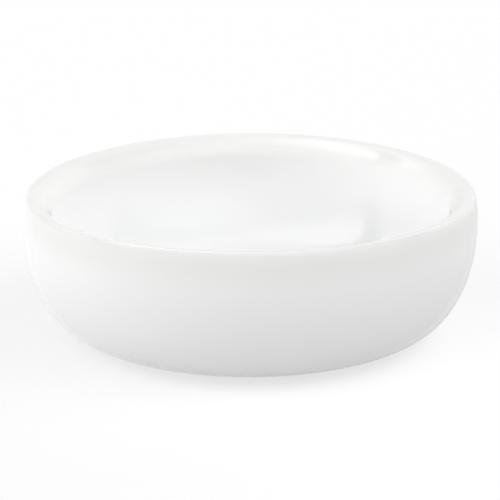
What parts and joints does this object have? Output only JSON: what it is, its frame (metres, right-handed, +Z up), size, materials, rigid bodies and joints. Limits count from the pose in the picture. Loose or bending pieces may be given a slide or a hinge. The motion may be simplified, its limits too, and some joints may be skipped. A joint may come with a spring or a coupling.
{
  "type": "evaporating dish",
  "caption": "Low round porcelain dish with a thick rounded rim, a full belly, a glazed inside and outside and a bare foot ring.",
  "frame": {"origin": "centre of the foot ring's bearing face, which is the lowest point of the dish", "axes": "+Z up along the dish's axis of revolution; X and Y lie in the bearing face, and any turn about +Z is the same"},
  "size_m": [0.1, 0.1, 0.0315],
  "materials": {
    "fired_porcelain": "bare, fine-grained, matt",
    "white_glaze": "glossy white glaze",
    "well_glaze": "thin glossy white glaze"
  },
  "bodies": {
    "root": {"porcelain_body": "fired_porcelain", "glaze_coat": "white_glaze", "foot_well_glaze": "well_glaze"}
  },
  "joints": []
}
